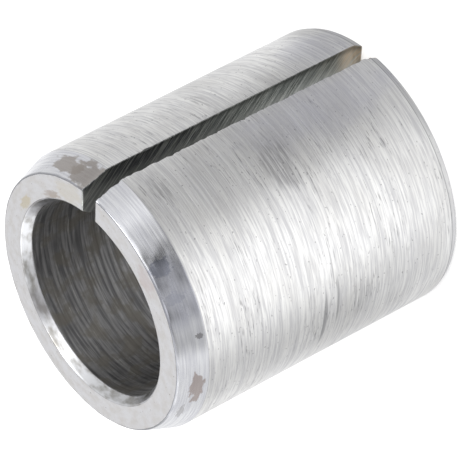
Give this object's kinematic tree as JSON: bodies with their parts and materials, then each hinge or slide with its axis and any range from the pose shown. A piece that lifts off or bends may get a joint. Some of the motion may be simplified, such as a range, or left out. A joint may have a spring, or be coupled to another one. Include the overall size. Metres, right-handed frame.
{
  "type": "split taper bush",
  "caption": "Short turned steel bush with a slightly tapered outside, a conical lead at its small end, a through bore and a lengthwise saw cut.",
  "frame": {"origin": "on the bush's axis, at the face of the big end, on which it stands", "axes": "+Z along the bore from the big end to the small end; -Y through the middle of the saw cut"},
  "size_m": [0.0172, 0.0172, 0.02],
  "materials": {
    "plated_steel": "bright zinc plate over fine turning marks"
  },
  "bodies": {
    "root": {"taper_bush": "plated_steel"}
  },
  "joints": []
}
